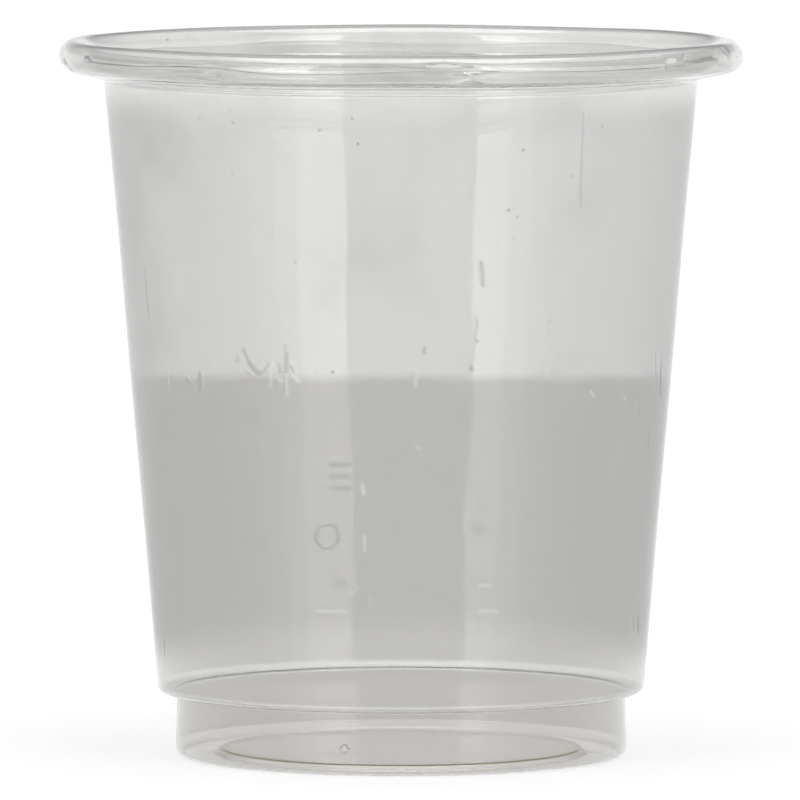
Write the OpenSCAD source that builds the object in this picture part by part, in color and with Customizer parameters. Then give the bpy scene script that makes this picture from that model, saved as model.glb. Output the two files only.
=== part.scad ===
// Clear thermoformed drinking cup with a rolled rim and a stacking step above its foot.
// It is one sheet of plastic, so the whole cup is one middle line with half a sheet on each side of it.
// The line starts at the centre of the base panel and ends at the cut edge tucked inside the roll.
// Lengths are in millimetres, angles in degrees, and the cup stands on z = 0 with its axis along Z.

/* [Mouth] */
// Diameter over the rolled rim
mouth_d = 75; // [66:0.5:90]
// Height from the table to the top of the rim
cup_h = 78.7; // [50:0.1:120]
// Diameter of the roll's own round section
roll_d = 3.5; // [2.8:0.1:4.5]
// Angle that the cut edge turns on past the underside of the roll, on a tighter bend
tuck_turn = 105; // [20:5:140]
// Gap between the tucked edge and the lip
tuck_gap = 0.15; // [0.05:0.05:0.4]

/* [Lip] */
// Depth of the lip, from the top of the rim to the foot of its ledge
lip_h = 4.4; // [4:0.1:8]
// Width of the ledge that steps out from the wall to the lip
ledge_w = 1.85; // [1.4:0.05:3]
// Height that the ledge climbs on its way out
ledge_climb = 0.9; // [0.2:0.1:1.5]
// Radius of the ledge's two bends, along the middle of the sheet
ledge_bend = 0.8; // [0.3:0.05:0.9]

/* [Body] */
// Thickness of the sheet
sheet_t = 0.4; // [0.2:0.05:0.6]
// Outside diameter of the wall at its lower end, where it meets the stacking step
body_d = 53.4; // [48:0.2:58]
// Radius of the shoulder at the wall's lower end, along the middle of the sheet
shoulder_bend = 1; // [0.4:0.1:1.2]

/* [Foot] */
// Height of the foot, from the table to the underside of the stacking step
foot_h = 7; // [5:0.1:12]
// Width of the stacking step
step_w = 1.9; // [1.8:0.1:4]
// Distance that the foot's wall leans in on its way up to the step
neck_in = 0.15; // [0:0.05:0.4]
// Radius of the bend between the foot's wall and the step, along the middle of the sheet
neck_bend = 0.5; // [0.3:0.05:0.6]
// Radius of the heel round the bottom of the foot, along the middle of the sheet
heel_bend = 1; // [0.4:0.1:1.5]

/* [Base panel] */
// Width of the resting ring, from the heel's sharp corner to the foot of the panel's riser
ring_w = 4.5; // [3:0.1:7]
// Height that the panel is pushed up above the resting ring
panel_rise = 0.6; // [0.3:0.1:2]
// Width of the sloping riser between the ring and the panel
riser_w = 0.5; // [0.3:0.1:1.2]
// Radius of the riser's two bends, along the middle of the sheet
riser_bend = 0.4; // [0.3:0.05:0.45]
// Diameter of the moulding pip that stands on the panel
pip_d = 2.2; // [1:0.1:4]
// Height of the moulding pip
pip_h = 0.25; // [0.1:0.05:0.5]
// Distance of the pip from the cup's axis
pip_offset = 6.8; // [0:0.1:10]
// Direction of the pip as seen from above, from the +X axis
pip_turn = 204; // [0:1:359]

/* [Hidden] */

// Steps round the cup, and the most that one step of a bend turns
round_steps = 180;
bend_step = 15;

// Radii and heights of the sheet's middle line
half_t = sheet_t / 2;
roll_mid = roll_d / 2 - half_t;
roll_r = mouth_d / 2 - roll_d / 2;
roll_z = cup_h - roll_d / 2;
tuck_bend = roll_mid - sheet_t - tuck_gap;
lip_r = roll_r - roll_mid;
ledge_z = cup_h - lip_h;
body_r = body_d / 2 - half_t;
foot_r = body_r - step_w;
step_z = foot_h + half_t;
riser_r = foot_r + half_t - ring_w;
panel_r = riser_r - riser_w;
panel_z = panel_rise + half_t;

// Corners of the middle line from the axis outward and up, each as [radius, height, bend]
corners = [
    [0, panel_z, 0],
    [panel_r, panel_z, riser_bend],
    [riser_r, half_t, riser_bend],
    [foot_r, half_t, heel_bend],
    [foot_r - neck_in, step_z, neck_bend],
    [body_r, step_z, shoulder_bend],
    [lip_r - ledge_w, ledge_z, ledge_bend],
    [lip_r, ledge_z + ledge_climb, ledge_bend],
    [lip_r, roll_z, 0]
];

// Direction from one point to the next, from the outward direction
function heading(from, to) = atan2(to[1] - from[1], to[0] - from[0]);

// Turn between two directions, from -180 to 180
function turn_between(a, b) = let(d = b - a) d > 180 ? d - 360 : d < -180 ? d + 360 : d;

// Left-hand unit normal of a direction
function normal(a) = [-sin(a), cos(a)];

// Points along an arc, each as [radius, height, direction]. A turn below 0 is clockwise
function arc(centre, radius, start, turn) =
    let(side = sign(turn), steps = ceil(abs(turn) / bend_step))
    [for (i = [0:steps])
        let(a = start + turn * i / steps, p = centre - side * radius * normal(a)) [p[0], p[1], a]];

// Points of the bend at one corner, tangent to both of its legs
function bend(before, corner, after) =
    let(
        a = heading(before, corner),
        turn = turn_between(a, heading(corner, after)),
        reach = corner[2] * tan(abs(turn) / 2),
        start = [corner[0] - reach * cos(a), corner[1] - reach * sin(a)]
    )
    arc(start + sign(turn) * corner[2] * normal(a), corner[2], a, turn);

// The middle line: a start on the axis, a bend at every corner, three quarters of the roll, then the tuck
middle = concat(
    [[corners[0][0], corners[0][1], 0]],
    [for (i = [1:len(corners) - 2]) each bend(corners[i - 1], corners[i], corners[i + 1])],
    arc([roll_r, roll_z], roll_mid, 90, -270),
    arc([roll_r, roll_z - roll_mid + tuck_bend], tuck_bend, -180, -tuck_turn)
);

// One face of the sheet, half a thickness to one side of the middle line
function face_of(line, side) =
    [for (p = line) [p[0], p[1]] + side * half_t * normal(p[2])];

// The sheet's section, up one face and back down the other
module sheet_section() {
    inside = face_of(middle, 1);
    outside = face_of(middle, -1);
    polygon(concat(inside, [for (i = [len(outside) - 1:-1:0]) outside[i]]));
}

// The pip is the cap of a ball that rises from the panel's upper face
module pip() {
    ball_r = (pip_d * pip_d / 4 + pip_h * pip_h) / (2 * pip_h);
    face_z = panel_z + half_t;
    rotate(pip_turn)
        translate([pip_offset, 0, 0])
            intersection() {
                translate([0, 0, face_z + pip_h - ball_r])
                    sphere(r = ball_r, $fn = round_steps);
                translate([0, 0, panel_z])
                    cylinder(d = pip_d + sheet_t, h = half_t + 2 * pip_h, $fn = round_steps);
            }
}

module cup() {
    color([0.86, 0.86, 0.85]) {
        rotate_extrude($fn = round_steps)
            sheet_section();
        pip();
    }
}

cup();
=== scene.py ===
"""Dresses a clear thermoformed drinking cup with a rolled rim, standing on a white table.

The cup is one sheet of plastic, so its mesh is one lathe of the same section as the solid that it replaces,
with the sheet drawn thin as moulding draws it, finer bends, and the waves and dents of use.
"""

import logging
import math
from collections.abc import Callable
from dataclasses import dataclass, field
from enum import Enum

import bpy
import numpy as np
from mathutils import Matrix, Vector


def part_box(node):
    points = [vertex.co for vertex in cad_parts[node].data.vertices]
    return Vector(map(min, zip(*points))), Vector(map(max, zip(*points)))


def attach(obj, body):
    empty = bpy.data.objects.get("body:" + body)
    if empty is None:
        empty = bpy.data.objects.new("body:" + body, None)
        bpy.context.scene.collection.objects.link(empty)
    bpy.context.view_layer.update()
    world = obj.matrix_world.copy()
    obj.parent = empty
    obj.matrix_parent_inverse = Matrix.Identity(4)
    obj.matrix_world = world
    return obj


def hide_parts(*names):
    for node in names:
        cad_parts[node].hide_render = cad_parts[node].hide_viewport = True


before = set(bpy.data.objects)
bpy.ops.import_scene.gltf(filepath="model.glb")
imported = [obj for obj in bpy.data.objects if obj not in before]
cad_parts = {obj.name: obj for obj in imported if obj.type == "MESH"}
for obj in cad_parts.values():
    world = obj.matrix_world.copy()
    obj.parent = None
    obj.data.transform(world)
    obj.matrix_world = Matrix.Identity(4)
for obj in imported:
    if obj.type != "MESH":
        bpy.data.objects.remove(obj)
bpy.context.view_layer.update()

MM = 0.001
TURN = 2 * math.pi
NOISE_MIDDLE = 0.5
EVEN_HEIGHT = 1.0
Colour = tuple[float, float, float, float]
log = logging.getLogger("cup")


@dataclass(frozen=True)
class Fade:
    """A soft edge between the value at which a share is 0 and the value at which it is 1.

    A band is a pair of them: how something fades in, and how it fades out again.
    """

    start: float
    end: float

    def at(self, value: np.ndarray) -> np.ndarray:
        """The share at values, as a smooth step."""
        share = np.clip((value - self.start) / (self.end - self.start), 0, 1)
        return share * share * (3 - 2 * share)


Band = tuple[Fade, Fade]


class Wire:
    """One output socket of a shader node, whose operators add Math nodes to its graph."""

    def __init__(self, graph: "Graph", socket: bpy.types.NodeSocket) -> None:
        """Keeps the socket and the graph that it belongs to."""
        self.graph = graph
        self.socket = socket

    def __add__(self, other: "Wire | float") -> "Wire":
        """This value plus another."""
        return self.graph.math("ADD", self, other)

    def __radd__(self, other: float) -> "Wire":
        """A number plus this value."""
        return self.graph.math("ADD", other, self)

    def __sub__(self, other: "Wire | float") -> "Wire":
        """This value less another."""
        return self.graph.math("SUBTRACT", self, other)

    def __rsub__(self, other: float) -> "Wire":
        """A number less this value."""
        return self.graph.math("SUBTRACT", other, self)

    def __mul__(self, other: "Wire | float") -> "Wire":
        """This value times another."""
        return self.graph.math("MULTIPLY", self, other)

    def __rmul__(self, other: float) -> "Wire":
        """A number times this value."""
        return self.graph.math("MULTIPLY", other, self)


class Graph:
    """The node tree of one material or world."""

    def __init__(self, owner: bpy.types.Material | bpy.types.World) -> None:
        """Empties the owner's node tree.

        Args:
            owner: the material or world that the nodes belong to.
        """
        owner.use_nodes = True
        self.tree = owner.node_tree
        self.tree.nodes.clear()

    def node(self, kind: str, settings: dict | None = None, inputs: dict | None = None) -> bpy.types.Node:
        """Adds one node.

        Args:
            kind: the node's type.
            settings: its properties, which are set first.
            inputs: values or wires for its sockets, by name, identifier or number.

        Returns:
            The new node.
        """
        made = self.tree.nodes.new(kind)
        for name, value in (settings or {}).items():
            setattr(made, name, value)
        for name, value in (inputs or {}).items():
            socket = self._find(made.inputs, name)
            if isinstance(value, Wire):
                self.tree.links.new(value.socket, socket)
            else:
                socket.default_value = value
        return made

    def out(self, node: bpy.types.Node, name: str | int = 0) -> Wire:
        """The wire from one of a node's outputs."""
        return Wire(self, self._find(node.outputs, name))

    def math(self, operation: str, *values: Wire | float) -> Wire:
        """One Math node on up to three values."""
        return self.out(self.node("ShaderNodeMath", {"operation": operation}, dict(enumerate(values))))

    def step(self, value: Wire, fade: Fade) -> Wire:
        """The share of a fade at a value, as a smooth step."""
        inputs = {"Value": value, "From Min": fade.start, "From Max": fade.end}
        return self.out(self.node("ShaderNodeMapRange", {"interpolation_type": "SMOOTHSTEP"}, inputs))

    def blend(self, factor: Wire, low: Wire | Colour, high: Wire | Colour) -> Wire:
        """Two colours mixed by a factor."""
        inputs = {"Factor_Float": factor, "A_Color": low, "B_Color": high}
        return self.out(self.node("ShaderNodeMix", {"data_type": "RGBA"}, inputs), "Result_Color")

    @staticmethod
    def _find(sockets: bpy.types.bpy_prop_collection, name: str | int) -> bpy.types.NodeSocket:
        """Finds a socket.

        Args:
            sockets: the inputs or the outputs of a node.
            name: its number, identifier or name.

        Returns:
            The socket.
        """
        if isinstance(name, int):
            return sockets[name]
        return next((s for s in sockets if s.identifier == name), None) or sockets[name]


def grey(value: float) -> Colour:
    """An opaque neutral colour."""
    return (value, value, value, 1.0)


def add_object(name: str, data: bpy.types.ID) -> bpy.types.Object:
    """Adds an object to the scene.

    Args:
        name: its name.
        data: its mesh, light or camera.

    Returns:
        The object.
    """
    made = bpy.data.objects.new(name, data)
    bpy.context.scene.collection.objects.link(made)
    return made


class Side(Enum):
    """Which wall of the cup a place is on, as the photograph shows it."""

    NEAR = "near"
    FAR = "far"


@dataclass
class Outline:
    """The sheet's closed section, as points of radius and height.

    The first points, as many as inner says, are the inner face. The next, as many as edge says, are the cut
    edge.
    """

    points: np.ndarray
    inner: int
    edge: int

    def reach(self, heights: np.ndarray) -> np.ndarray:
        """Measures how far out the section reaches.

        Args:
            heights: where it is measured.

        Returns:
            Its largest radius at each height.
        """
        cuts = np.zeros_like(heights)
        for (r0, z0), (r1, z1) in zip(self.points, self.points[1:]):
            if z0 != z1:
                share = (heights - z0) / (z1 - z0)
                inside = (share >= 0) & (share <= 1)
                cuts = np.where(inside, np.maximum(cuts, r0 + share * (r1 - r0)), cuts)
        return cuts


@dataclass
class Section:
    """The sheet's section: a middle line from the axis out to the tucked edge of the roll, in metres.

    mouth is the diameter over the roll and height is the cup's height.
    """

    mouth: float
    height: float
    sheet: float = 0.4 * MM
    roll: float = 3.5 * MM
    roll_turn: float = math.radians(270)
    tuck_turn: float = math.radians(105)
    tuck_gap: float = 0.15 * MM
    lip_height: float = 4.4 * MM
    ledge_width: float = 1.85 * MM
    ledge_climb: float = 0.9 * MM
    ledge_bend: float = 0.8 * MM
    body: float = 53.4 * MM
    shoulder_bend: float = 0.7 * MM
    foot_height: float = 7.0 * MM
    step_width: float = 1.9 * MM
    neck_in: float = 0.15 * MM
    neck_bend: float = 0.5 * MM
    heel_bend: float = 0.8 * MM
    ring_width: float = 4.5 * MM
    panel_rise: float = 0.6 * MM
    riser_width: float = 0.5 * MM
    riser_bend: float = 0.5 * MM
    thin_sheet: float = 0.2 * MM
    roll_sheet: float = 0.22 * MM
    arc_step: float = math.radians(11)
    leg_step: float = 2.2 * MM
    edge_steps: int = 6

    @property
    def half(self) -> float:
        """Half of the sheet's thickness."""
        return self.sheet / 2

    @property
    def roll_middle(self) -> float:
        """Radius of the roll, along the middle of the sheet."""
        return self.roll / 2 - self.half

    @property
    def roll_centre(self) -> tuple[float, float]:
        """Radius and height of the roll's centre."""
        return (self.mouth / 2 - self.roll / 2, self.height - self.roll / 2)

    def corners(self) -> list[tuple[float, float, float]]:
        """Works out the corners of the middle line.

        Returns:
            Each corner's radius, height and bend, from the axis to the roll.
        """
        base = self.panel_rise + self.half
        lip = self.roll_centre[0] - self.roll_middle
        wall = self.body / 2 - self.half
        foot = wall - self.step_width
        step = self.foot_height + self.half
        riser = foot + self.half - self.ring_width
        ledge = self.height - self.lip_height
        return [
            (0.0, base, 0.0),
            (riser - self.riser_width, base, self.riser_bend),
            (riser, self.half, self.riser_bend),
            (foot, self.half, self.heel_bend),
            (foot - self.neck_in, step, self.neck_bend),
            (wall, step, self.shoulder_bend),
            (lip - self.ledge_width, ledge, self.ledge_bend),
            (lip, ledge + self.ledge_climb, self.ledge_bend),
            (lip, self.roll_centre[1], 0.0),
        ]

    def middle(self) -> list[tuple[float, float, float]]:
        """Works out the middle line.

        Returns:
            Each point's radius, height and direction, from the axis to the tucked edge.
        """
        corners = self.corners()
        radius, height, _ = corners[0]
        line = [(radius, height, 0.0)]
        for before, here, after in zip(corners, corners[1:], corners[2:]):
            self._leg(line, self._bend(before, here, after))
        radius, height = self.roll_centre
        self._leg(line, self._arc((radius, height), self.roll_middle, TURN / 4, -self.roll_turn))
        tuck = self.roll_middle - self.sheet - self.tuck_gap
        low = (radius, height - self.roll_middle + tuck)
        line.extend(self._arc(low, tuck, -TURN / 2, -self.tuck_turn)[1:])
        return line

    def outline(self) -> Outline:
        """Closes the section: up the inner face, round the cut edge and back down the outer face.

        Returns:
            The outline.
        """
        line = self.middle()
        shares = [self._rolled(point) for point in line]
        drawn, drawn_roll = self.sheet - self.thin_sheet, self.sheet - self.roll_sheet
        inner = [self._off(point, self.half - drawn * (1 - share)) for point, share in zip(line, shares)]
        outer = [self._off(point, drawn_roll * share - self.half) for point, share in zip(line, shares)]
        heading, bead = line[-1][2], self.roll_sheet / 2
        radius, height = self._off(line[-1], drawn_roll / 2)
        turns = [heading + TURN / 4 - TURN / 2 * i / self.edge_steps for i in range(1, self.edge_steps)]
        edge = [(radius + bead * math.cos(a), height + bead * math.sin(a)) for a in turns]
        return Outline(np.array(inner + edge + outer[::-1]), len(inner), len(edge))

    def _rolled(self, point: tuple[float, float, float]) -> float:
        """Says which face gives way to the thin sheet.

        Args:
            point: a point of the middle line.

        Returns:
            0 for the cup's inner face, and 1 for the face that turns to the inside of the roll.
        """
        radius, height, _ = point
        centre, level = self.roll_centre
        start = self.height - self.lip_height + self.ledge_climb + self.ledge_bend
        if radius > centre - self.roll_middle + self.half:
            return 1.0
        return min(1.0, max(0.0, (height - start) / (level - start)))

    def _leg(self, line: list, following: list) -> None:
        """Adds the straight leg to the next bend, in steps no longer than leg_step, and then the bend.

        Args:
            line: the points so far.
            following: the points of the bend.
        """
        r, z, _ = line[-1]
        end = following[0]
        heading = math.atan2(end[1] - z, end[0] - r)
        steps = max(1, math.ceil(math.hypot(end[0] - r, end[1] - z) / self.leg_step))
        for i in range(1, steps):
            line.append((r + (end[0] - r) * i / steps, z + (end[1] - z) * i / steps, heading))
        line.extend(following)

    def _arc(self, centre: tuple, radius: float, start: float, turn: float) -> list:
        """Follows an arc.

        Args:
            centre: the radius and height of its centre.
            radius: its own radius.
            start: the direction in which it starts.
            turn: how far it turns, below 0 if clockwise.

        Returns:
            Its points, each as its radius, height and direction.
        """
        side = math.copysign(1, turn)
        steps = math.ceil(abs(turn) / self.arc_step)
        headings = [start + turn * i / steps for i in range(steps + 1)]
        r, z = centre
        return [(r + side * radius * math.sin(a), z - side * radius * math.cos(a), a) for a in headings]

    def _bend(self, before: tuple, here: tuple, after: tuple) -> list:
        """Rounds a corner.

        Args:
            before: the corner before it.
            here: the corner.
            after: the corner after it.

        Returns:
            The points of its bend, which is tangent to both legs.
        """
        r, z, radius = here
        a = math.atan2(z - before[1], r - before[0])
        b = math.atan2(after[1] - z, after[0] - r)
        turn = (b - a + TURN / 2) % TURN - TURN / 2
        reach = radius * math.tan(abs(turn) / 2)
        side = math.copysign(1, turn)
        centre = (
            r - reach * math.cos(a) - side * radius * math.sin(a),
            z - reach * math.sin(a) + side * radius * math.cos(a),
        )
        return self._arc(centre, radius, a, turn)

    @staticmethod
    def _off(point: tuple, distance: float) -> tuple[float, float]:
        """A point's neighbour on its left, at a distance."""
        r, z, heading = point
        return (r - distance * math.sin(heading), z + distance * math.cos(heading))


@dataclass(frozen=True)
class ClearPlastic:
    """Clear plastic, with painted shade below a soft line.

    The tints are what one wall of the sheet lets through. Below the line, the darker tint is painted shade
    that stands in for the darker surroundings seen through the lower walls, and the foot carries it on. A
    darker band on the crest of the roll is painted shade, and the shoulder's bend, tinted clear, is a
    painted highlight. The line's top is its height on the axis, and its tilt how far it rises for each
    metre towards the back. The fades say where each tint starts
    and where it is full: up the cup, out from the axis, or towards the back. wear_up is where scuffs begin.
    """

    upper: Colour = (0.92, 0.92, 0.91, 1.0)
    # Painted shade: the lower tint stands in for the darker surroundings seen through the lower walls. Its
    # line is tilted so that the near and far walls show it as one line from the camera.
    painted_shade_tint: Colour = (0.785, 0.78, 0.765, 1.0)
    shade_line_top: float = 41.5 * MM
    shade_line_tilt: float = 0.075
    shade_line_soft: float = 0.8 * MM
    shade_line_wave: float = 1.2 * MM
    shade_line_scale: float = 120.0
    shade_line_detail: float = 2.0
    # Painted shade: the foot keeps a dark tint like the shaded lower wall, darker still towards the back.
    foot: Colour = (0.80, 0.79, 0.77, 1.0)
    foot_behind_shade: Colour = (0.65, 0.64, 0.62, 1.0)
    foot_up: Fade = Fade(7.8 * MM, 6.6 * MM)
    foot_shade_back: Fade = Fade(-8 * MM, 8 * MM)
    rim: Colour = (0.92, 0.92, 0.91, 1.0)
    rim_up: Fade = Fade(73.6 * MM, 75.0 * MM)
    # Painted shade: a darker band along the top of the roll, where the sheet is seen edge-on.
    crest_shade: Colour = (0.70, 0.70, 0.69, 1.0)
    crest_shade_up: Fade = Fade(78.2 * MM, 78.45 * MM)
    panel: Colour = (1.0, 0.99, 0.98, 1.0)
    panel_out: Fade = Fade(20.6 * MM, 20.2 * MM)
    # Painted highlight: the shoulder's bend is tinted clear, lighter than the walls round it, so that it
    # shows as a bright line.
    shoulder: Colour = (1.0, 0.995, 0.99, 1.0)
    shoulder_highlight_up: Band = (Fade(6.7 * MM, 6.9 * MM), Fade(8.0 * MM, 7.6 * MM))
    shoulder_highlight_out: Fade = Fade(24.4 * MM, 24.8 * MM)
    heel: Colour = (0.85, 0.84, 0.825, 1.0)
    heel_up: Fade = Fade(1.4 * MM, 1.2 * MM)
    heel_out: Fade = Fade(18.9 * MM, 19.1 * MM)
    amber: Colour = (1.0, 0.86, 0.62, 1.0)
    amber_up: Fade = Fade(0.55 * MM, 0.7 * MM)
    amber_out: Band = (Fade(18.6 * MM, 18.9 * MM), Fade(20.3 * MM, 20.0 * MM))
    amber_back: Fade = Fade(2 * MM, -4 * MM)
    wear_up: Fade = Fade(36 * MM, 44 * MM)
    speck: Colour = (0.62, 0.62, 0.61, 1.0)
    speck_scale: float = 350.0
    speck_size: Fade = Fade(0.085, 0.05)
    speck_share: Fade = Fade(0.59, 0.63)
    smear: Colour = (0.80, 0.80, 0.79, 1.0)
    smear_scale: float = 55.0
    smear_detail: float = 4.0
    smear_share: Fade = Fade(0.5, 0.8)
    # The scratches are real wear; the pale tint on them is a painted glint, and the dark tint is painted
    # shade.
    scratch_glint: Colour = (1.0, 1.0, 1.0, 1.0)
    scratch_shade: Colour = (0.5, 0.5, 0.49, 1.0)
    clearness: float = 0.96
    bend: float = 1.49
    gloss: float = 0.02
    haze: float = 0.1
    scuff: float = 0.25
    coat_tint: Colour = (0.94, 0.94, 0.94, 1.0)
    coat_bend: float = 1.03
    coat_up: Band = (Fade(9 * MM, 14 * MM), Fade(70 * MM, 74 * MM))
    rim_bare: float = 0.85
    bulk_colour: Colour = (0.5, 0.49, 0.47, 1.0)
    bulk_density: float = 60.0

    def material(self) -> bpy.types.Material:
        """Makes the material.

        Returns:
            The material.
        """
        made = bpy.data.materials.new("clear_plastic")
        graph = Graph(made)
        place = graph.out(graph.node("ShaderNodeTexCoord"), "Object")
        parts = graph.node("ShaderNodeSeparateXYZ", None, {0: place})
        back, up = graph.out(parts, "Y"), graph.out(parts, "Z")
        flat = graph.out(graph.node("ShaderNodeCombineXYZ", None, {"X": graph.out(parts, "X"), "Y": back}))
        out = graph.out(graph.node("ShaderNodeVectorMath", {"operation": "LENGTH"}, {0: flat}), "Value")
        # The shoulder's bend: a painted highlight in the tint, and hazier in roughness.
        first, last = self.shoulder_highlight_up
        shoulder = graph.step(up, first) * graph.step(up, last) * graph.step(out, self.shoulder_highlight_out)
        # Painted shade below a line tilted towards the back.
        tint = self._shade_line(graph, place, up + back * self.shade_line_tilt)
        tint = self._forms(graph, tint, (out, back, up), shoulder)
        tint = self._specks(graph, tint, place, graph.step(up, self.wear_up))
        scratch = graph.out(graph.node("ShaderNodeAttribute", {"attribute_name": "scratch"}), "Fac")
        # Scratches: pale as painted glints, dark as painted shade.
        tint = graph.blend(graph.math("MAXIMUM", scratch, 0.0), tint, self.scratch_glint)
        tint = graph.blend(graph.math("MAXIMUM", 0.0 - scratch, 0.0), tint, self.scratch_shade)
        low, high = self.coat_up
        sockets = {
            "Base Color": tint,
            "Roughness": shoulder * self.haze + graph.math("ABSOLUTE", scratch) * self.scuff + self.gloss,
            "IOR": self.bend,
            "Transmission Weight": self.clearness,
            "Coat Weight": graph.step(up, low) * (1.0 - graph.step(up, high) * self.rim_bare),
            "Coat Roughness": self.gloss,
            "Coat IOR": self.coat_bend,
            "Coat Tint": self.coat_tint,
        }
        surface = graph.out(graph.node("ShaderNodeBsdfPrincipled", None, sockets))
        sockets = {"Color": self.bulk_colour, "Density": self.bulk_density}
        bulk = graph.out(graph.node("ShaderNodeVolumeAbsorption", None, sockets))
        graph.node("ShaderNodeOutputMaterial", None, {"Surface": surface, "Volume": bulk})
        return made

    def _shade_line(self, graph: Graph, place: Wire, height: Wire) -> Wire:
        """Tints the wall, with painted shade below a slightly wavy line.

        Args:
            graph: the material's graph.
            place: the place on the cup.
            height: the height, tilted as the line is.

        Returns:
            The wall's tint.
        """
        inputs = {"Vector": place, "Scale": self.shade_line_scale, "Detail": self.shade_line_detail}
        wave = graph.out(graph.node("ShaderNodeTexNoise", None, inputs)) - NOISE_MIDDLE
        line = Fade(self.shade_line_top - self.shade_line_soft, self.shade_line_top + self.shade_line_soft)
        # Painted shade: the share of the darker tint below the line.
        shade_share = 1.0 - graph.step(height + wave * self.shade_line_wave, line)
        return graph.blend(shade_share, self.upper, self.painted_shade_tint)

    def _forms(self, graph: Graph, tint: Wire, spot: tuple[Wire, Wire, Wire], shoulder: Wire) -> Wire:
        """Tints the foot, rim, base and bends, with painted shade on the foot and on the top of the roll,
        and a painted highlight on the shoulder's bend.

        Args:
            graph: the material's graph.
            tint: the wall's tint.
            spot: the distance from the axis, the place towards the back, and the height.
            shoulder: 1 on the shoulder's bend, where the highlight is painted.

        Returns:
            The tint of all forms.
        """
        out, back, up = spot
        # Painted shade on the foot, darker towards the back.
        foot = graph.blend(graph.step(back, self.foot_shade_back), self.foot, self.foot_behind_shade)
        tint = graph.blend(graph.step(up, self.foot_up), tint, foot)
        tint = graph.blend(graph.step(up, self.rim_up), tint, self.rim)
        # Painted shade along the top of the roll.
        tint = graph.blend(graph.step(up, self.crest_shade_up), tint, self.crest_shade)
        tint = graph.blend(graph.step(out, self.panel_out), tint, self.panel)
        # Painted highlight on the shoulder's bend.
        tint = graph.blend(shoulder, tint, self.shoulder)
        tint = graph.blend(graph.step(out, self.heel_out) * graph.step(up, self.heel_up), tint, self.heel)
        first, last = self.amber_out
        edge = graph.step(out, first) * graph.step(out, last) * graph.step(up, self.amber_up)
        return graph.blend(edge * graph.step(back, self.amber_back), tint, self.amber)

    def _specks(self, graph: Graph, tint: Wire, place: Wire, worn: Wire) -> Wire:
        """Adds specks and soft smears.

        Args:
            graph: the material's graph.
            tint: the tint so far.
            place: the place on the cup.
            worn: 1 where the plastic is worn.

        Returns:
            The tint with both.
        """
        cells = graph.node("ShaderNodeTexVoronoi", None, {"Vector": place, "Scale": self.speck_scale})
        near, kept = graph.out(cells, "Distance"), graph.out(cells, "Color")
        dots = graph.step(near, self.speck_size) * graph.step(kept, self.speck_share)
        tint = graph.blend(dots * worn, tint, self.speck)
        inputs = {"Vector": place, "Scale": self.smear_scale, "Detail": self.smear_detail}
        cloud = graph.out(graph.node("ShaderNodeTexNoise", None, inputs))
        return graph.blend(graph.step(cloud, self.smear_share) * worn, tint, self.smear)


@dataclass(frozen=True)
class Pixel:
    """A place in the photograph, in pixels from its top left corner."""

    x: float
    y: float


@dataclass(frozen=True)
class Viewpoint:
    """The photograph's camera, which looks along +Y and a little down."""

    distance: float = 1.390
    eye: float = 0.145
    pitch: float = math.radians(4.361)
    lens: float = 571.4
    sensor: float = 36.0
    aside: float = -0.11 * MM
    frame_side: int = 800
    tries: int = 8

    @property
    def place(self) -> Vector:
        """Where the camera stands."""
        return Vector((self.aside, -self.distance, self.eye))

    def ahead(self, pixel: Pixel) -> Vector:
        """Finds the direction in which a pixel looks.

        Args:
            pixel: the place in the photograph.

        Returns:
            The direction, 1 m ahead when measured along the camera's axis.
        """
        scale = self.sensor / self.lens / self.frame_side
        right, up = (pixel.x - self.frame_side / 2) * scale, (self.frame_side / 2 - pixel.y) * scale
        sine, cosine = math.sin(self.pitch), math.cos(self.pitch)
        return Vector((right, cosine + up * sine, up * cosine - sine))

    def on_wall(self, pixel: Pixel, reach: Callable[[float], float], side: Side) -> Vector:
        """Finds the place on the cup that a pixel shows.

        Args:
            pixel: the place in the photograph.
            reach: the cup's radius at a height.
            side: the wall that the place is on. The far one shows through the mouth or the near one.

        Returns:
            The place in the frame.
        """
        start, way = self.place, self.ahead(pixel)
        spot = start + way * self.distance
        for _ in range(self.tries):
            radius = reach(spot.z)
            square = way.x**2 + way.y**2
            middle = -(start.x * way.x + start.y * way.y) / square
            missed = (start + way * middle).to_2d().length
            half = math.sqrt(max(0.0, radius**2 - missed**2) / square)
            spot = start + way * (middle + half if side is Side.FAR else middle - half)
        return spot


@dataclass(frozen=True)
class Stroke:
    """A scratch or a raised mark along a path of pixels.

    tone is 1 where the stroke lets all light through, as a painted glint, and -1 where it is darkest, as
    painted shade. rise is its relief.
    """

    path: tuple[Pixel, ...]
    width: float = 0.34 * MM
    tone: float = 0.0
    rise: float = -0.025 * MM
    side: Side = Side.NEAR


@dataclass(frozen=True)
class Dent:
    """A soft dent: how wide and tall it is, and how far it pushes the sheet in and down."""

    at: Pixel
    wide: float
    tall: float
    push: float = 0.0
    drop: float = 0.0
    side: Side = Side.NEAR


Marks = list[tuple[Stroke, np.ndarray]]
Hits = list[tuple[Dent, np.ndarray]]
Pair = tuple[np.ndarray, np.ndarray]


def ring_of(centre: Pixel, radius: float, sides: int = 20) -> tuple[Pixel, ...]:
    """A closed path of pixels round a centre."""
    turns = [TURN * i / sides for i in range(sides + 1)]
    return tuple(Pixel(centre.x + radius * math.cos(a), centre.y + radius * math.sin(a)) for a in turns)


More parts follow.
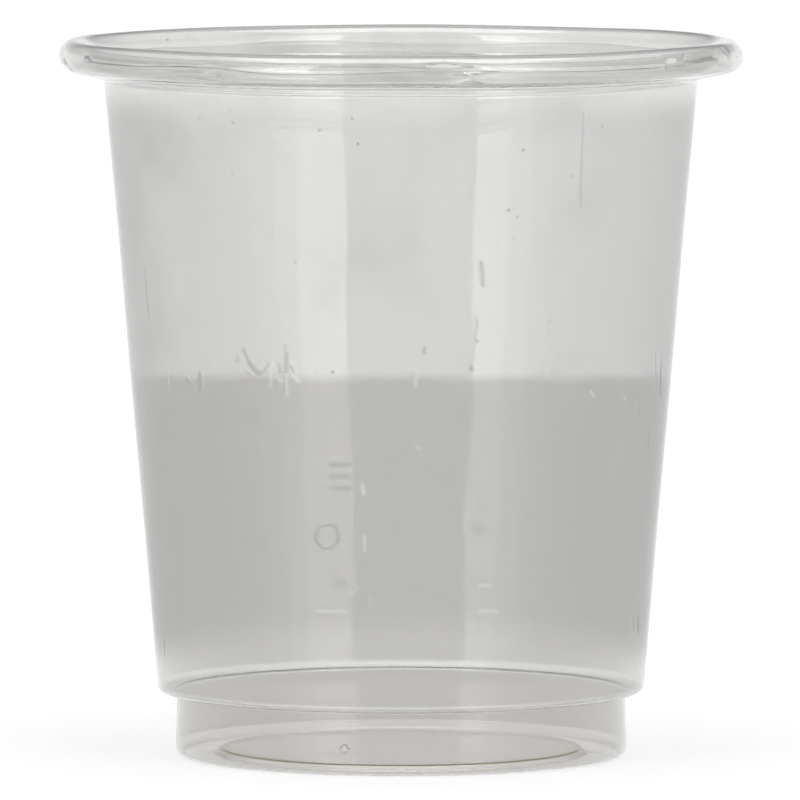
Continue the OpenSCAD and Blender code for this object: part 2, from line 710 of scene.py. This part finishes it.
class Lathe:
    """A closed surface of revolution, whose quads are split where detail needs it."""

    def __init__(self, outline: Outline, columns: int, column_split: int, row_step: float) -> None:
        """Plans the rings.

        Args:
            outline: the section. Its two ends are on the axis.
            columns: how many quads go round.
            column_split: how many parts a split quad has round the axis.
            row_step: about how tall the parts of a split quad are.
        """
        self.poles = (outline.points[0], outline.points[-1])
        self.rings = outline.points[1:-1]
        self.columns = columns
        self.column_split = column_split
        lengths = np.linalg.norm(np.diff(self.rings, axis=0), axis=1)
        self.row_split = np.maximum(1, np.round(lengths / row_step)).astype(int)
        self.split = np.zeros((len(lengths), columns), dtype=bool)
        self.extra: dict[tuple[int, int, int, int], int] = {}

    def centres(self) -> np.ndarray:
        """Finds the middles of the quads.

        Returns:
            Their places, by row and column.
        """
        rows = (self.rings[1:] + self.rings[:-1]) / 2
        around = TURN * (np.arange(self.columns) + 0.5) / self.columns
        r, z = rows[:, 0][:, None], rows[:, 1][:, None]
        return np.stack([r * np.sin(around), -r * np.cos(around), z + 0 * around], axis=2)

    def faces(self) -> list[list[int]]:
        """Joins the rings. A quad beside a split one takes in the points along their shared edge.

        Returns:
            The vertices of every face.
        """
        rows, columns = self.split.shape
        found = []
        for i in range(rows):
            for j in range(columns):
                found.extend(self._parts(i, j) if self.split[i, j] else [self._whole(i, j)])
        first, last = len(self.rings) * columns, rows * columns
        shift = len(self.extra)
        for j in range(columns):
            k = (j + 1) % columns
            found.append([first + shift, j, k])
            found.append([first + shift + 1, last + k, last + j])
        return found

    def points(self) -> tuple[np.ndarray, np.ndarray, np.ndarray, np.ndarray]:
        """Places every vertex on the unworn section. The last two are the poles.

        Returns:
            The radius, height, angle and ring of each vertex.
        """
        count = len(self.rings)
        ring = [np.repeat(np.arange(count), self.columns)]
        r = [np.repeat(self.rings[:, 0], self.columns)]
        z = [np.repeat(self.rings[:, 1], self.columns)]
        turn = [np.tile(np.arange(self.columns), count)]
        if self.extra:
            i, a, j, b = np.array(list(self.extra)).T
            share = a / self.row_split[np.minimum(i, count - 2)]
            after = self.rings[np.minimum(i + 1, count - 1)]
            spot = self.rings[i] * (1 - share)[:, None] + after * share[:, None]
            ring.append(i)
            r.append(spot[:, 0])
            z.append(spot[:, 1])
            turn.append(j + b / self.column_split)
        ring.append(np.array([0, count - 1]))
        r.append(np.zeros(2))
        z.append(np.array([self.poles[0][1], self.poles[1][1]]))
        turn.append(np.zeros(2))
        angle = np.concatenate(turn) * TURN / self.columns
        return np.concatenate(r), np.concatenate(z), angle, np.concatenate(ring)

    def _vertex(self, i: int, a: int, j: int, b: int) -> int:
        """Numbers a vertex, which is shared by the faces round it.

        Args:
            i: its row.
            a: its part of the row.
            j: its column.
            b: its part of the column.

        Returns:
            Its number.
        """
        if a and a == self.row_split[i]:
            i, a = i + 1, 0
        if b == self.column_split:
            j, b = j + 1, 0
        j %= self.columns
        if a == 0 and b == 0:
            return i * self.columns + j
        return self.extra.setdefault((i, a, j, b), len(self.rings) * self.columns + len(self.extra))

    def _parts(self, i: int, j: int) -> list[list[int]]:
        """Splits a quad.

        Args:
            i: its row.
            j: its column.

        Returns:
            The vertices of its parts.
        """
        return [
            [
                self._vertex(i, a, j, b),
                self._vertex(i, a + 1, j, b),
                self._vertex(i, a + 1, j, b + 1),
                self._vertex(i, a, j, b + 1),
            ]
            for a in range(self.row_split[i])
            for b in range(self.column_split)
        ]

    def _whole(self, i: int, j: int) -> list[int]:
        """Joins a quad that isn't split, with the points that its split neighbours put on its edges.

        Args:
            i: its row.
            j: its column.

        Returns:
            Its vertices.
        """
        rows, columns = self.split.shape
        tall, wide = int(self.row_split[i]), self.column_split
        down = range(1, tall) if self.split[i, j - 1] else ()
        across = range(1, wide) if i + 1 < rows and self.split[i + 1, j] else ()
        up = range(tall - 1, 0, -1) if self.split[i, (j + 1) % columns] else ()
        back = range(wide - 1, 0, -1) if i > 0 and self.split[i - 1, j] else ()
        return (
            [self._vertex(i, 0, j, 0)]
            + [self._vertex(i, a, j, 0) for a in down]
            + [self._vertex(i + 1, 0, j, 0)]
            + [self._vertex(i + 1, 0, j, b) for b in across]
            + [self._vertex(i + 1, 0, j + 1, 0)]
            + [self._vertex(i, a, j + 1, 0) for a in up]
            + [self._vertex(i, 0, j + 1, 0)]
            + [self._vertex(i, 0, j, b) for b in back]
        )


class Ripple:
    """A smooth random wave round the axis and along it, from -1 to 1."""

    def __init__(self, seed: int, counts: tuple[int, int], height: float, terms: int = 7) -> None:
        """Draws the terms.

        Args:
            seed: starts the random numbers.
            counts: the fewest and the most waves round the axis.
            height: the shortest wave along the axis.
            terms: how many cosines are added.
        """
        draw = np.random.default_rng(seed)
        self.round = draw.integers(counts[0], counts[1] + 1, terms)
        self.along = draw.uniform(-1, 1, terms) * TURN / height
        self.phase = draw.uniform(0, TURN, terms)

    def at(self, angle: np.ndarray, z: np.ndarray) -> np.ndarray:
        """The wave at angles and heights."""
        waves = [np.cos(k * angle + p * z + f) for k, p, f in zip(self.round, self.along, self.phase)]
        return np.tanh(sum(waves) / math.sqrt(len(waves)))


@dataclass
class Wear:
    """What use and moulding leave on the sheet: waves, dents, raised marks and scratches.

    The ripples of the rim and of the tucked edge are so long that they are even over the cup's height.
    """

    view: Viewpoint = field(default_factory=Viewpoint)
    wall_wave: float = 0.08 * MM
    wall_up: Band = (Fade(10 * MM, 16 * MM), Fade(66 * MM, 73 * MM))
    wall_ripple: Ripple = field(default_factory=lambda: Ripple(seed=3, counts=(3, 11), height=24 * MM))
    rim_wave: float = 0.16 * MM
    rim_up: Fade = Fade(70 * MM, 75 * MM)
    rim_ripple: Ripple = field(default_factory=lambda: Ripple(seed=5, counts=(2, 9), height=EVEN_HEIGHT))
    edge_wave: float = 0.22 * MM
    edge_ripple: Ripple = field(default_factory=lambda: Ripple(seed=8, counts=(4, 12), height=EVEN_HEIGHT))

    def dents(self) -> list[Dent]:
        """Lists the dents and pinches of the rim, and the unevenness of the wall behind the bright stripes.

        Returns:
            The dents.
        """
        return [
            Dent(Pixel(x=190, y=76), wide=3.2 * MM, tall=0.55 * MM, push=0.45 * MM),
            Dent(Pixel(x=214, y=68), wide=1.8 * MM, tall=0.60 * MM, push=0.22 * MM),
            Dent(Pixel(x=472, y=77), wide=1.9 * MM, tall=0.50 * MM, push=0.85 * MM),
            Dent(Pixel(x=445, y=69), wide=2.2 * MM, tall=0.45 * MM, push=0.30 * MM),
            Dent(Pixel(x=672, y=66), wide=0.9 * MM, tall=0.60 * MM, push=0.70 * MM),
            Dent(Pixel(x=688, y=60), wide=0.6 * MM, tall=0.40 * MM, push=0.40 * MM),
            Dent(Pixel(x=700, y=46), wide=1.2 * MM, tall=0.80 * MM, drop=0.22 * MM),
            Dent(Pixel(x=727, y=52), wide=0.7 * MM, tall=0.80 * MM, drop=0.20 * MM, push=0.10 * MM),
            Dent(Pixel(x=66, y=62), wide=0.8 * MM, tall=0.50 * MM, push=0.15 * MM),
            Dent(Pixel(x=480, y=523), wide=1.5 * MM, tall=0.9 * MM, push=0.05 * MM, side=Side.FAR),
            Dent(Pixel(x=340, y=575), wide=1.6 * MM, tall=1.2 * MM, push=0.05 * MM, side=Side.FAR),
        ]

    def strokes(self) -> list[Stroke]:
        """Lists the scratches, most of them along the line where another cup rubbed, and the raised marks;
        their pale tones are painted glints and their dark tones painted shade.

        Returns:
            The strokes.
        """
        thin, bar, wide, mark = 0.20 * MM, 0.30 * MM, 0.48 * MM, 0.07 * MM
        return [
            Stroke((Pixel(x=243, y=350), Pixel(x=248, y=361)), tone=-0.75),
            Stroke((Pixel(x=249, y=363), Pixel(x=253, y=368), Pixel(x=258, y=372)), width=wide, tone=-0.75),
            Stroke((Pixel(x=247, y=369), Pixel(x=252, y=375), Pixel(x=258, y=377)), width=thin, tone=0.9),
            Stroke((Pixel(x=259, y=372), Pixel(x=265, y=368), Pixel(x=268, y=363)), tone=-0.55),
            Stroke((Pixel(x=257, y=366), Pixel(x=260, y=369), Pixel(x=265, y=364)), width=thin, tone=0.8),
            Stroke((Pixel(x=271, y=364), Pixel(x=270, y=387)), tone=0.9),
            Stroke((Pixel(x=285, y=345), Pixel(x=285, y=352)), width=thin, tone=-0.7),
            Stroke((Pixel(x=286, y=354), Pixel(x=286, y=372)), width=wide, tone=-0.75),
            Stroke((Pixel(x=286, y=375), Pixel(x=287, y=396)), tone=0.9),
            Stroke((Pixel(x=279, y=366), Pixel(x=280, y=370)), tone=-0.7),
            Stroke((Pixel(x=291, y=366), Pixel(x=292, y=371)), tone=-0.6),
            Stroke((Pixel(x=289, y=360), Pixel(x=296, y=367)), width=thin, tone=0.7),
            Stroke((Pixel(x=290, y=374), Pixel(x=297, y=382)), tone=0.8),
            Stroke((Pixel(x=277, y=380), Pixel(x=282, y=383)), tone=0.6),
            Stroke((Pixel(x=237, y=357), Pixel(x=238, y=359)), tone=-0.5),
            Stroke((Pixel(x=167, y=366), Pixel(x=169, y=394)), tone=0.9),
            Stroke((Pixel(x=171, y=374), Pixel(x=171, y=392)), width=thin, tone=-0.6),
            Stroke((Pixel(x=199, y=372), Pixel(x=199, y=392)), tone=-0.7),
            Stroke((Pixel(x=202, y=375), Pixel(x=203, y=390)), width=thin, tone=0.8),
            Stroke((Pixel(x=213, y=355), Pixel(x=215, y=374)), tone=0.7),
            Stroke((Pixel(x=186, y=378), Pixel(x=190, y=384)), tone=-0.6),
            Stroke((Pixel(x=413, y=369), Pixel(x=417, y=377), Pixel(x=415, y=386)), tone=0.9),
            Stroke((Pixel(x=424, y=348), Pixel(x=424, y=353)), tone=-0.7),
            Stroke((Pixel(x=478, y=318), Pixel(x=472, y=367)), width=thin, tone=-0.6),
            Stroke((Pixel(x=471, y=366), Pixel(x=472, y=369)), tone=-0.8),
            Stroke((Pixel(x=553, y=361), Pixel(x=549, y=364), Pixel(x=548, y=382)), tone=0.6),
            Stroke((Pixel(x=482, y=262), Pixel(x=483, y=285)), tone=-0.7),
            Stroke((Pixel(x=584, y=113), Pixel(x=582, y=160), Pixel(x=580, y=205)), width=thin, tone=-0.5),
            Stroke((Pixel(x=145, y=270), Pixel(x=147, y=300), Pixel(x=150, y=325)), width=thin, tone=-0.9),
            Stroke((Pixel(x=655, y=350), Pixel(x=656, y=385)), width=thin, tone=0.8),
            Stroke((Pixel(x=661, y=352), Pixel(x=660, y=398)), width=thin, tone=0.9),
            Stroke((Pixel(x=591, y=391), Pixel(x=594, y=396)), tone=1.0),
            Stroke((Pixel(x=625, y=397), Pixel(x=627, y=401)), tone=1.0),
            Stroke((Pixel(x=638, y=407), Pixel(x=637, y=412)), tone=1.0),
            Stroke((Pixel(x=649, y=434), Pixel(x=648, y=446)), width=thin, tone=-0.6),
            Stroke((Pixel(x=415, y=446), Pixel(x=417, y=450), Pixel(x=421, y=448)), width=thin, tone=0.9),
            Stroke((Pixel(x=245, y=543), Pixel(x=263, y=544)), width=thin, tone=-0.4),
            Stroke((Pixel(x=633, y=618), Pixel(x=633, y=630)), width=thin, tone=0.7),
            Stroke((Pixel(x=638, y=617), Pixel(x=638, y=632)), width=thin, tone=-0.5),
            Stroke((Pixel(x=165, y=640), Pixel(x=165, y=656)), width=thin, tone=-0.5),
            # Raised marks: moulded relief, whose pale tones are painted highlights and whose dark tones are
            # painted shade.
            Stroke((Pixel(x=362, y=484), Pixel(x=363, y=494)), tone=0.8, rise=mark),
            Stroke((Pixel(x=364, y=537), Pixel(x=364, y=550)), tone=0.8, rise=mark),
            Stroke(ring_of(Pixel(x=327, y=537), radius=12), width=bar, tone=-0.55, rise=mark),
            Stroke((Pixel(x=330, y=465), Pixel(x=350, y=465)), width=bar, tone=-0.55, rise=mark),
            Stroke((Pixel(x=330, y=477), Pixel(x=350, y=477)), width=bar, tone=-0.55, rise=mark),
            Stroke((Pixel(x=330, y=489), Pixel(x=350, y=489)), width=bar, tone=-0.55, rise=mark),
            Stroke((Pixel(x=315, y=612), Pixel(x=344, y=612)), width=bar, tone=0.9, rise=mark),
            Stroke((Pixel(x=479, y=585), Pixel(x=491, y=585)), width=bar, tone=0.9, rise=mark),
            Stroke((Pixel(x=479, y=612), Pixel(x=497, y=612)), width=bar, tone=0.8, rise=mark),
            Stroke((Pixel(x=348, y=588), Pixel(x=353, y=594), Pixel(x=357, y=588)), width=thin, tone=0.8),
            Stroke((Pixel(x=369, y=597), Pixel(x=371, y=606)), width=thin, tone=0.8),
            Stroke((Pixel(x=558, y=35), Pixel(x=558, y=42)), tone=-0.8, side=Side.FAR),
            Stroke((Pixel(x=587, y=37), Pixel(x=588, y=43)), tone=-0.8, side=Side.FAR),
        ]


@dataclass
class Cup:
    """The cup: one lathe of the sheet's section, with the pip of its mould and the wear of use.

    trace_step is in pixels, and dent_reach in widths of the dent. A stroke is full up to stroke_core of its
    width and ends at stroke_edge of it, and it is looked for within stroke_span of its middle.
    """

    section: Section
    finish: ClearPlastic = field(default_factory=ClearPlastic)
    wear: Wear = field(default_factory=Wear)
    columns: int = 252
    column_split: int = 4
    row_step: float = 0.21 * MM
    pip: float = 1.4 * MM
    pip_height: float = 0.6 * MM
    pip_tone: float = 0.6
    pip_offset: float = 6.8 * MM
    pip_turn: float = math.radians(204)
    level_count: int = 800
    trace_step: float = 2.0
    dent_reach: float = 1.8
    stroke_reach: float = 0.2 * MM
    stroke_core: float = 0.35
    stroke_edge: float = 0.9
    stroke_span: float = 12 * MM

    def __post_init__(self) -> None:
        """Works out the section and how far it reaches at each height."""
        self.outline = self.section.outline()
        self.levels = np.linspace(0, self.section.height, self.level_count)
        self.reaches = self.outline.reach(self.levels)

    def build(self) -> bpy.types.Object:
        """Makes the mesh, dresses it and sets it in the frame.

        Returns:
            The cup's object.
        """
        lathe = Lathe(self.outline, self.columns, self.column_split, self.row_step)
        marks = [(stroke, self._trace(stroke)) for stroke in self.wear.strokes()]
        hits = [(dent, self._spot(dent.at, dent.side)) for dent in self.wear.dents()]
        self._split(lathe, marks, hits)
        faces = lathe.faces()
        spots, tone = self._shape(lathe, marks, hits)
        mesh = bpy.data.meshes.new("moulded_cup")
        mesh.from_pydata(spots.tolist(), [], faces)
        mesh.attributes.new("scratch", "FLOAT", "POINT").data.foreach_set("value", tone)
        mesh.validate()
        mesh.shade_smooth()
        piece = add_object("moulded_cup", mesh)
        mesh.materials.append(self.finish.material())
        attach(piece, "root")
        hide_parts("cup")
        return piece

    def _reach(self, height: float) -> float:
        """The cup's radius at a height."""
        return float(np.interp(height, self.levels, self.reaches))

    def _spot(self, pixel: Pixel, side: Side) -> np.ndarray:
        """The place on the cup's outer face that a pixel shows."""
        return np.array(self.wear.view.on_wall(pixel, self._reach, side))

    def _trace(self, stroke: Stroke) -> np.ndarray:
        """Lays a stroke on the cup.

        Args:
            stroke: the scratch or mark.

        Returns:
            The places along its path, in short steps.
        """
        path = []
        for start, end in zip(stroke.path, stroke.path[1:]):
            across, down = end.x - start.x, end.y - start.y
            steps = max(1, round(math.hypot(across, down) / self.trace_step))
            shares = [i / steps for i in range(steps + 1)]
            path.extend(Pixel(start.x + across * share, start.y + down * share) for share in shares)
        return np.array([self._spot(pixel, stroke.side) for pixel in path])

    def _pip_spot(self) -> np.ndarray:
        """Finds the pip's foot.

        Returns:
            The middle of the pip, on the panel's upper face.
        """
        face = self.section.panel_rise + self.section.thin_sheet
        across, along = math.cos(self.pip_turn), math.sin(self.pip_turn)
        return np.array((self.pip_offset * across, self.pip_offset * along, face))

    def _split(self, lathe: Lathe, marks: Marks, hits: Hits) -> None:
        """Marks the quads near every stroke, dent and the pip as split.

        Args:
            lathe: the rings.
            marks: the strokes and their paths.
            hits: the dents and their places.
        """
        middles = lathe.centres()
        outer = np.arange(len(middles)) >= self.outline.inner
        quad = self.section.leg_step / 2
        for stroke, path in marks:
            for spot in path[::2]:
                near = np.linalg.norm(middles - spot, axis=2) < stroke.width + quad + self.stroke_reach
                lathe.split |= near & outer[:, None]
        for dent, spot in hits:
            reach = self.dent_reach * max(dent.wide, dent.tall)
            lathe.split |= np.linalg.norm(middles - spot, axis=2) < reach
        lathe.split |= np.linalg.norm(middles - self._pip_spot(), axis=2) < self.pip / 2 + quad
        lathe.split[0] = lathe.split[-1] = False

    def _shape(self, lathe: Lathe, marks: Marks, hits: Hits) -> Pair:
        """Places every vertex.

        Args:
            lathe: the rings and their split quads.
            marks: the strokes and their paths.
            hits: the dents and their places.

        Returns:
            The places, and each vertex's scratch tone from -1 to 1.
        """
        r, z, angle, ring = lathe.points()
        spots = np.stack([r * np.sin(angle), -r * np.cos(angle), z], axis=1)
        inward, down = self._waves(r, z, angle, ring)
        tone = np.zeros(len(r))
        for dent, spot in hits:
            gap = spots - spot
            across = np.hypot(gap[:, 0], gap[:, 1]) / dent.wide
            depth = np.exp(-(across**2) - (gap[:, 2] / dent.tall) ** 2)
            inward += dent.push * depth
            down += dent.drop * depth
        outer = ring >= self.outline.inner
        for stroke, path in marks:
            around = np.linalg.norm(spots - path.mean(axis=0), axis=1) < self.stroke_span
            close = np.flatnonzero(outer & around)
            gap = np.min(np.linalg.norm(spots[close][:, None] - path[None], axis=2), axis=1)
            cover = 1 - Fade(stroke.width * self.stroke_core, stroke.width * self.stroke_edge).at(gap)
            stronger = cover * abs(stroke.tone) > abs(tone[close])
            tone[close] = np.where(stronger, cover * stroke.tone, tone[close])
            inward[close] -= stroke.rise * cover
        away = np.linalg.norm((spots - self._pip_spot())[:, :2], axis=1)
        cap = Fade(self.pip / 2, 0.0).at(away)
        tone = np.where(cap > 0, cap * self.pip_tone, tone)
        r = np.maximum(r - inward, 0.0) * (r > 0)
        z = z - down + cap * self.pip_height
        return np.stack([r * np.sin(angle), -r * np.cos(angle), z], axis=1), tone

    def _waves(self, r: np.ndarray, z: np.ndarray, angle: np.ndarray, ring: np.ndarray) -> Pair:
        """Works out the waves.

        Args:
            r: each vertex's radius; not used.
            z: its height.
            angle: its angle.
            ring: its ring.

        Returns:
            How far the waves move each vertex in, and how far down.
        """
        wear, section = self.wear, self.section
        low, high = wear.wall_up
        wall = low.at(z) * (1 - high.at(z))
        inward = wear.wall_wave * wall * (1 + wear.wall_ripple.at(angle, z)) / 2
        down = wear.rim_wave * wear.rim_up.at(z) * (1 + wear.rim_ripple.at(angle, z)) / 2
        tuck_rings = math.ceil(section.tuck_turn / section.arc_step)
        edge = self.outline.inner + self.outline.edge / 2
        tucked = np.clip(1 - (np.abs(ring - edge) - self.outline.edge / 2) / tuck_rings, 0, 1)
        down += wear.edge_wave * tucked * wear.edge_ripple.at(angle, z)
        return inward, down


@dataclass
class Studio:
    """The white table, the white surroundings, the soft boxes and the camera.

    What is seen turns dusky from white_top to dusk_top of the way up, and lighter again up to ceiling_low.
    The side boxes stand round the cup in bands. side_edges gives, for each side, the turns from the front
    where the boxes meet, in degrees.
    """

    view: Viewpoint = field(default_factory=Viewpoint)
    table_radius: float = 4.0
    table_sides: int = 96
    world_level: float = 0.45
    white_top: float = 0.08
    dusk_top: float = 0.25
    dusk: float = 0.38
    ceiling_low: float = 0.75
    ceiling: float = 0.9
    lamp_height: float = 1.2
    lamp_size: tuple[float, float] = (1.2, 0.9)
    lamp_glare: float = 2.3
    side_edges: tuple = ((1, (23.5, 45.0, 55.0, 66.0)), (-1, (31.0, 46.0, 56.0, 66.0)))
    side_glare: tuple[float, ...] = (3.2, 1.8, 0.7)
    side_reach: float = 1.2
    side_height: float = 0.6
    side_tall: float = 1.1
    table_white: float = 0.35
    table_level: float = 1.03
    bounces: int = 12
    diffuse_bounces: int = 1
    noise_limit: float = 0.07

    def build(self) -> None:
        """Sets up everything round the cup."""
        self._world()
        self._table()
        self._boxes()
        self._camera()
        cycles = bpy.context.scene.cycles
        cycles.use_light_tree = False
        cycles.diffuse_bounces = self.diffuse_bounces
        cycles.max_bounces = self.bounces
        cycles.transmission_bounces = self.bounces
        cycles.glossy_bounces = self.bounces
        cycles.adaptive_threshold = self.noise_limit
        bpy.context.scene.view_settings.view_transform = "Standard"

    def _seen(self, graph: Graph) -> Wire:
        """Tells what is seen from what only lights.

        Args:
            graph: the graph of the surface or the world.

        Returns:
            1 for what the camera sees, straight, mirrored or through the plastic, and 0 for the rest.
        """
        path = graph.node("ShaderNodeLightPath")
        rays = [graph.out(path, name) for name in ("Is Camera Ray", "Is Glossy Ray", "Is Transmission Ray")]
        return graph.math("MINIMUM", rays[0] + rays[1] + rays[2], 1.0)

    def _world(self) -> None:
        """White where it is seen, and a plain level of light elsewhere."""
        world = bpy.data.worlds.new("white_surroundings")
        bpy.context.scene.world = world
        graph = Graph(world)
        place = graph.node("ShaderNodeTexCoord")
        parts = graph.node("ShaderNodeSeparateXYZ", None, {0: graph.out(place, "Generated")})
        up = graph.out(parts, "Z")
        dusk = graph.step(up, Fade(self.white_top, self.dusk_top)) * (1.0 - self.dusk)
        rise = graph.step(up, Fade(self.dusk_top, self.ceiling_low)) * (self.ceiling - self.dusk)
        shown = 1.0 - dusk + rise
        seen = self._seen(graph)
        strength = seen * shown + (1.0 - seen) * self.world_level
        light = graph.node("ShaderNodeBackground", None, {"Color": grey(1.0), "Strength": strength})
        graph.node("ShaderNodeOutputWorld", None, {"Surface": graph.out(light)})

    def _table(self) -> None:
        """A round white table that keeps the cup's shadow."""
        turns = [TURN * i / self.table_sides for i in range(self.table_sides)]
        rim = [(self.table_radius * math.cos(a), self.table_radius * math.sin(a), 0.0) for a in turns]
        mesh = bpy.data.meshes.new("white_table")
        mesh.from_pydata(rim, [], [tuple(range(len(rim)))])
        table = add_object("white_table", mesh)
        mesh.materials.append(self._table_finish())

    def _table_finish(self) -> bpy.types.Material:
        """Makes matt white that takes shadows. The light that it lacks of white is added where it is seen.

        Returns:
            The material.
        """
        material = bpy.data.materials.new("white_table")
        graph = Graph(material)
        matt = graph.out(graph.node("ShaderNodeBsdfDiffuse", None, {"Color": grey(self.table_white)}))
        spot = graph.out(graph.node("ShaderNodeTexCoord"), "Object")
        parts = graph.node("ShaderNodeSeparateXYZ", None, {0: spot})
        across, along = graph.out(parts, "X"), graph.out(parts, "Y")
        square = self.lamp_height**2
        spread = 1.0 + (across * across + along * along) * (1.0 / square)
        under = self.lamp_glare * self.lamp_size[0] * self.lamp_size[1] / (math.pi * square)
        lit = graph.math("DIVIDE", under, spread * spread) + self.world_level
        short = graph.math("MAXIMUM", self.table_level - lit * self.table_white, 0.0)
        strength = self._seen(graph) * short
        glow = graph.out(graph.node("ShaderNodeEmission", None, {"Color": grey(1.0), "Strength": strength}))
        both = graph.out(graph.node("ShaderNodeAddShader", None, {0: matt, 1: glow}))
        graph.node("ShaderNodeOutputMaterial", None, {"Surface": both})
        return material

    def _boxes(self) -> None:
        """One soft box overhead, and a band of soft boxes on each side of the camera."""
        above, base = (0.0, 0.0, self.lamp_height), (0.0, 0.0, 0.0)
        self._box("overhead_box", above, base, self.lamp_size, self.lamp_glare)
        aim = (0.0, 0.0, self.side_height)
        for side, edges in self.side_edges:
            for inner, outer, glare in zip(edges, edges[1:], self.side_glare):
                middle = math.radians((inner + outer) / 2) * side
                width = 2 * self.side_reach * math.tan(math.radians((outer - inner) / 2))
                across, ahead = self.side_reach * math.sin(middle), -self.side_reach * math.cos(middle)
                place = (across, ahead, self.side_height)
                self._box("side_box", place, aim, (width, self.side_tall), glare)

    def _box(self, name: str, place: tuple, aim: tuple, size: tuple, glare: float) -> None:
        """Hangs one rectangular soft box.

        Args:
            name: its name.
            place: where it hangs.
            aim: the place that it is turned to.
            size: how wide and how tall it is.
            glare: how bright its face is.
        """
        light = bpy.data.lights.new(name, "AREA")
        light.shape = "RECTANGLE"
        light.size, light.size_y = size
        light.energy = glare * math.pi * size[0] * size[1]
        lamp = add_object(name, light)
        lamp.location = place
        lamp.rotation_euler = (Vector(aim) - Vector(place)).to_track_quat("-Z", "Y").to_euler()

    def _camera(self) -> None:
        """The camera at the photograph's place."""
        data = bpy.data.cameras.new("camera")
        data.lens = self.view.lens
        data.sensor_width = self.view.sensor
        camera = add_object("camera", data)
        camera.location = self.view.place
        camera.rotation_euler = (TURN / 4 - self.view.pitch, 0.0, 0.0)
        bpy.context.scene.camera = camera


def main() -> None:
    """Builds the set and the cup."""
    logging.basicConfig(level=logging.INFO, format="%(name)s: %(message)s")
    Studio().build()
    low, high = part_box("cup")
    cup = Cup(Section(mouth=high.x - low.x, height=high.z - low.z))
    piece = cup.build()
    log.info("%s has %d faces", piece.name, len(piece.data.polygons))


if __name__ == "__main__":
    main()
